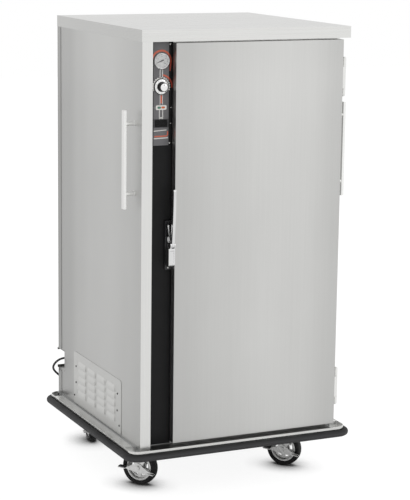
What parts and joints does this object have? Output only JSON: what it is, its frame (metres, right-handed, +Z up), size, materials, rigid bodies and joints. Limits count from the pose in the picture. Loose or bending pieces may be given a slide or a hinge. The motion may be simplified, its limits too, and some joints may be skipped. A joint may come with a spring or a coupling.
{
  "type": "plate warmer cabinet",
  "caption": "Tall insulated heated cabinet on braked swivel casters, with a hinged door, lever latch, push handles, rubber bumper and rod shelves inside.",
  "frame": {"origin": "centre of the bumper's footprint on the floor, between the caster treads", "axes": "+Z up, the door faces -Y, +X towards the hinge side"},
  "size_m": [0.94, 1.1129, 1.7325],
  "materials": {
    "stainless": "brushed",
    "bright_trim": "polished",
    "inner_steel": "satin",
    "galvanised": "satin",
    "black_panel": "satin",
    "keeper": "satin",
    "bumper_rubber": "matte",
    "gasket": "matte",
    "tread": "matte",
    "zinc": "satin",
    "insulation": "matte",
    "cord": "satin",
    "black_plastic": "gloss",
    "white_plastic": "gloss",
    "lamp_lens": "gloss",
    "glass": "clear",
    "knob": "satin",
    "heater": "matte"
  },
  "bodies": {
    "cabinet": {"base_frame": "galvanised", "ledge_channels": "stainless", "bumper_bar": "bright_trim", "bumper": "bumper_rubber", "left_panel": "stainless", "right_panel": "stainless", "back_panel": "stainless", "top_cap": "stainless", "front_frame": "stainless", "recess_panel": "black_panel", "chamber_liner": "inner_steel", "insulation": "insulation", "pilasters": "inner_steel", "shelves": "bright_trim", "thermometer_case": "bright_trim", "thermometer_lens": "glass", "thermostat": "galvanised", "lamp_plate": "white_plastic", "indicator_lamps": "lamp_lens", "switch_frame": "black_plastic", "vent_panel": "stainless", "push_handles": "bright_trim", "hinge_frame_leaves": "bright_trim", "latch_keeper": "keeper", "cord_pocket": "stainless", "cord_gland": "black_plastic", "cord_run": "cord", "cord_coil": "cord", "plug": "cord", "blower_housing": "galvanised", "heater_element": "heater", "caster_plates": "zinc"},
    "door": {"door_skin": "stainless", "door_liner": "inner_steel", "door_core": "insulation", "door_gasket": "gasket", "latch_body": "bright_trim", "hinge_door_leaves": "bright_trim"},
    "lever": {"latch_lever": "bright_trim"},
    "arm": {"latch_arm": "bright_trim"},
    "knob": {"thermostat_knob": "knob"},
    "needle": {"thermometer_needle": "keeper"},
    "rocker": {"switch_rocker": "black_plastic"},
    "fan": {"blower_wheel": "galvanised"},
    "caster_fl": {"fork_fl": "zinc"},
    "wheel_fl": {"hub_fl": "zinc", "tyre_fl": "tread"},
    "pedal_fl": {"brake_fl": "zinc"},
    "caster_fr": {"fork_fr": "zinc"},
    "wheel_fr": {"hub_fr": "zinc", "tyre_fr": "tread"},
    "pedal_fr": {"brake_fr": "zinc"},
    "caster_rl": {"fork_rl": "zinc"},
    "wheel_rl": {"hub_rl": "zinc", "tyre_rl": "tread"},
    "pedal_rl": {"brake_rl": "zinc"},
    "caster_rr": {"fork_rr": "zinc"},
    "wheel_rr": {"hub_rr": "zinc", "tyre_rr": "tread"},
    "pedal_rr": {"brake_rr": "zinc"}
  },
  "joints": [
    {"name": "door_swing", "type": "hinge", "parent": "cabinet", "child": "door", "pos_m": [0.419, -0.404, 0.8925], "axis": [0, 0, 1], "range_deg": [0, 180]},
    {"name": "latch_pull", "type": "hinge", "parent": "door", "child": "lever", "pos_m": [-0.285, -0.422, 0.9525], "axis": [1, 0, 0], "range_deg": [0, 35], "stiffness_Nm_per_rad": 1},
    {"name": "latch_arm_tilt", "type": "hinge", "parent": "door", "child": "arm", "pos_m": [-0.287, -0.407, 0.9645], "axis": [0, 1, 0], "range_deg": [0, 10.5]},
    {"name": "thermostat_turn", "type": "hinge", "parent": "cabinet", "child": "knob", "pos_m": [-0.318, -0.392, 1.5265], "axis": [0, 1, 0], "range_deg": [0, 300]},
    {"name": "needle_turn", "type": "hinge", "parent": "cabinet", "child": "needle", "pos_m": [-0.318, -0.3868, 1.6185], "axis": [0, 1, 0], "range_deg": [-20, 240], "stiffness_Nm_per_rad": 0.0001},
    {"name": "rocker_tilt", "type": "hinge", "parent": "cabinet", "child": "rocker", "pos_m": [-0.318, -0.379, 1.3945], "axis": [0, 0, 1], "range_deg": [0, 18]},
    {"name": "fan_spin", "type": "hinge", "parent": "cabinet", "child": "fan", "pos_m": [-0.276, 0.048, 0.3825], "axis": [1, 0, 0], "continuous": true},
    {"name": "swivel_fl", "type": "hinge", "parent": "cabinet", "child": "caster_fl", "pos_m": [-0.308, -0.276, 0.148], "axis": [0, 0, 1], "continuous": true},
    {"name": "wheel_spin_fl", "type": "hinge", "parent": "caster_fl", "child": "wheel_fl", "pos_m": [-0.33243, -0.24689, 0.0685], "axis": [-0.766, -0.6428, 0], "continuous": true},
    {"name": "brake_press_fl", "type": "hinge", "parent": "caster_fl", "child": "pedal_fl", "pos_m": [-0.33243, -0.24689, 0.0685], "axis": [-0.766, -0.6428, 0], "range_deg": [0, 22]},
    {"name": "swivel_fr", "type": "hinge", "parent": "cabinet", "child": "caster_fr", "pos_m": [0.308, -0.276, 0.148], "axis": [0, 0, 1], "continuous": true},
    {"name": "wheel_spin_fr", "type": "hinge", "parent": "caster_fr", "child": "wheel_fr", "pos_m": [0.28357, -0.24689, 0.0685], "axis": [-0.766, -0.6428, 0], "continuous": true},
    {"name": "brake_press_fr", "type": "hinge", "parent": "caster_fr", "child": "pedal_fr", "pos_m": [0.28357, -0.24689, 0.0685], "axis": [-0.766, -0.6428, 0], "range_deg": [0, 22]},
    {"name": "swivel_rl", "type": "hinge", "parent": "cabinet", "child": "caster_rl", "pos_m": [-0.308, 0.312, 0.148], "axis": [0, 0, 1], "continuous": true},
    {"name": "wheel_spin_rl", "type": "hinge", "parent": "caster_rl", "child": "wheel_rl", "pos_m": [-0.3001, 0.34917, 0.0685], "axis": [-0.9781, 0.2079, 0], "continuous": true},
    {"name": "brake_press_rl", "type": "hinge", "parent": "caster_rl", "child": "pedal_rl", "pos_m": [-0.3001, 0.34917, 0.0685], "axis": [-0.9781, 0.2079, 0], "range_deg": [0, 22]},
    {"name": "swivel_rr", "type": "hinge", "parent": "cabinet", "child": "caster_rr", "pos_m": [0.308, 0.312, 0.148], "axis": [0, 0, 1], "continuous": true},
    {"name": "wheel_spin_rr", "type": "hinge", "parent": "caster_rr", "child": "wheel_rr", "pos_m": [0.28357, 0.34111, 0.0685], "axis": [-0.766, -0.6428, 0], "continuous": true},
    {"name": "brake_press_rr", "type": "hinge", "parent": "caster_rr", "child": "pedal_rr", "pos_m": [0.28357, 0.34111, 0.0685], "axis": [-0.766, -0.6428, 0], "range_deg": [0, 22]}
  ],
  "couplings": [
    {"joint": "latch_arm_tilt", "follows": "latch_pull", "ratio": 0.3}
  ]
}
